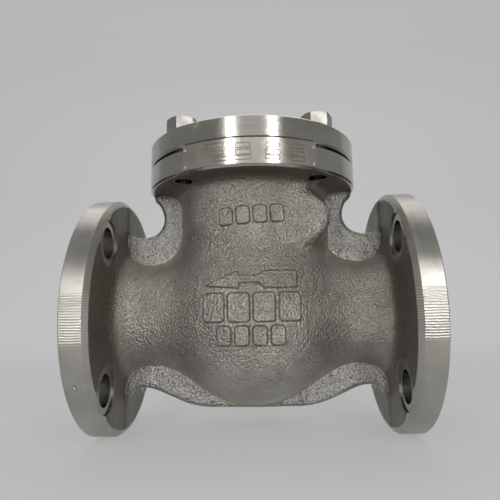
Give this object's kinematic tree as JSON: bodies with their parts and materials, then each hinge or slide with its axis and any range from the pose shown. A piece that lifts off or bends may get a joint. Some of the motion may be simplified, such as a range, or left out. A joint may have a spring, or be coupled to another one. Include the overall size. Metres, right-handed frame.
{
  "type": "swing check valve",
  "caption": "Flanged swing check valve with a round bulb body, a bolted round cover, and a hinged disc that opens with flow from inlet to outlet.",
  "frame": {"origin": "middle of the inlet raised face, on the port axis", "axes": "+X out of the inlet, so the outlet lies towards -X; +Z towards the bolted cover; +Y towards the plugged hinge boss"},
  "size_m": [0.2032, 0.1524, 0.1946],
  "materials": {
    "cast_stainless": "cast and pickled, machined rims",
    "machined_stainless": "turned satin",
    "fastener_steel": "satin",
    "bright_steel": "ground",
    "plate_stainless": "fine brushed",
    "soft_metal": "dull",
    "gasket_sheet": "matt"
  },
  "bodies": {
    "housing": {"valve_body": "cast_stainless", "seat_ring": "machined_stainless", "cover": "machined_stainless", "cover_gasket": "gasket_sheet", "hinge_pin": "bright_steel", "pin_plug": "fastener_steel", "plug_gasket": "soft_metal", "nameplate": "plate_stainless", "cover_bolt_1": "fastener_steel", "nameplate_pin_1": "bright_steel", "cover_bolt_2": "fastener_steel", "nameplate_pin_2": "bright_steel", "cover_bolt_3": "fastener_steel", "nameplate_pin_3": "bright_steel", "cover_bolt_4": "fastener_steel", "nameplate_pin_4": "bright_steel"},
    "arm": {"hinge_arm": "cast_stainless"},
    "disc_stack": {"disc": "machined_stainless", "disc_washer": "fastener_steel", "disc_nut": "fastener_steel", "disc_split_pin": "bright_steel"}
  },
  "joints": [
    {"name": "arm_swing", "type": "hinge", "parent": "housing", "child": "arm", "pos_m": [-0.0691, 0, 0.057], "axis": [0, 1, 0], "range_deg": [0, 55]},
    {"name": "disc_spin", "type": "hinge", "parent": "arm", "child": "disc_stack", "pos_m": [-0.0821, 0, 0], "axis": [1, 0, 0], "continuous": true}
  ]
}
